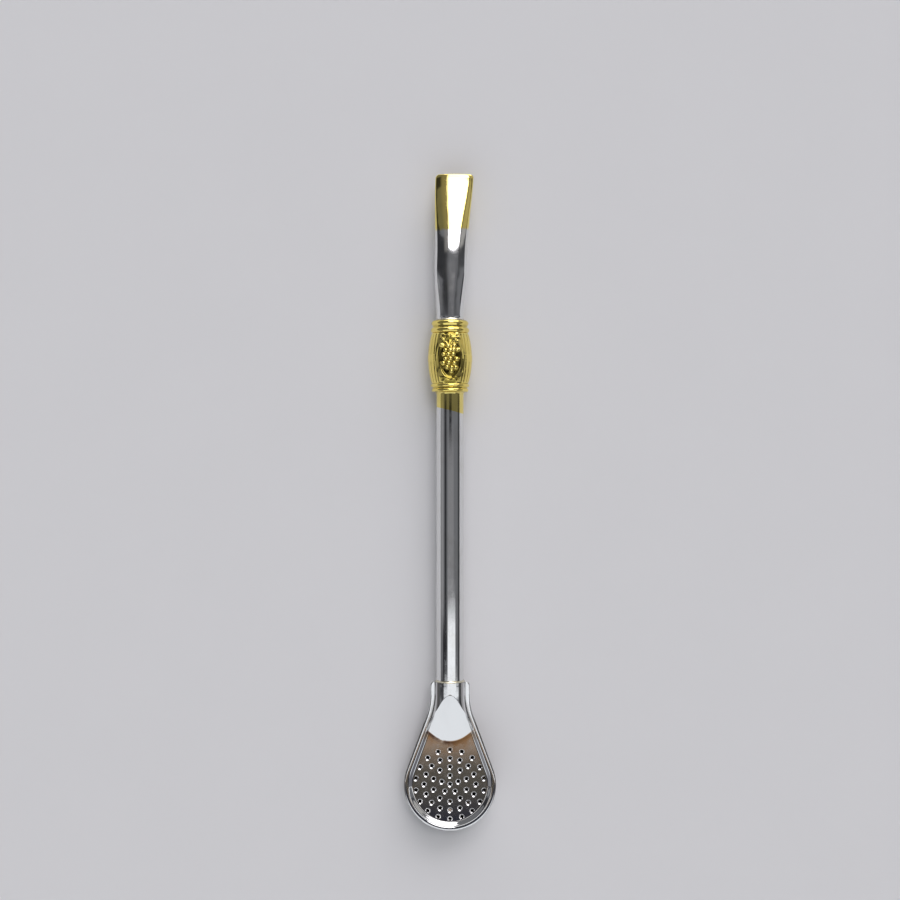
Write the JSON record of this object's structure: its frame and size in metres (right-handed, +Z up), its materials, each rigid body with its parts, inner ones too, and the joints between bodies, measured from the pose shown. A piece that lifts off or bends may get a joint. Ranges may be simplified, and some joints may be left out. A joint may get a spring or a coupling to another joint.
{
  "type": "bombilla",
  "caption": "Polished metal bombilla: a drinking straw with a flattened gold-plated mouth tip, a gold barrel-shaped ring with grapes, and a spoon-shaped strainer.",
  "frame": {"origin": "on the surface the bombilla lies on, under the middle of its bounding box", "axes": "+Y along the straw from the spoon to the mouth tip, +Z up out of the spoon's perforated front, +X to the right seen from above with the mouth tip up"},
  "size_m": [0.029, 0.207, 0.0142],
  "materials": {
    "nickel_silver": "polished",
    "gold_plate": "polished",
    "solder": "satin"
  },
  "bodies": {
    "root": {"mouthpiece": "nickel_silver", "stem_tube": "nickel_silver", "ring_front_shell": "gold_plate", "ring_back_shell": "gold_plate", "strainer_plate": "nickel_silver", "spoon_back": "nickel_silver", "ring_top_solder": "solder", "ring_bottom_solder": "gold_plate", "neck_solder": "solder"}
  },
  "joints": []
}
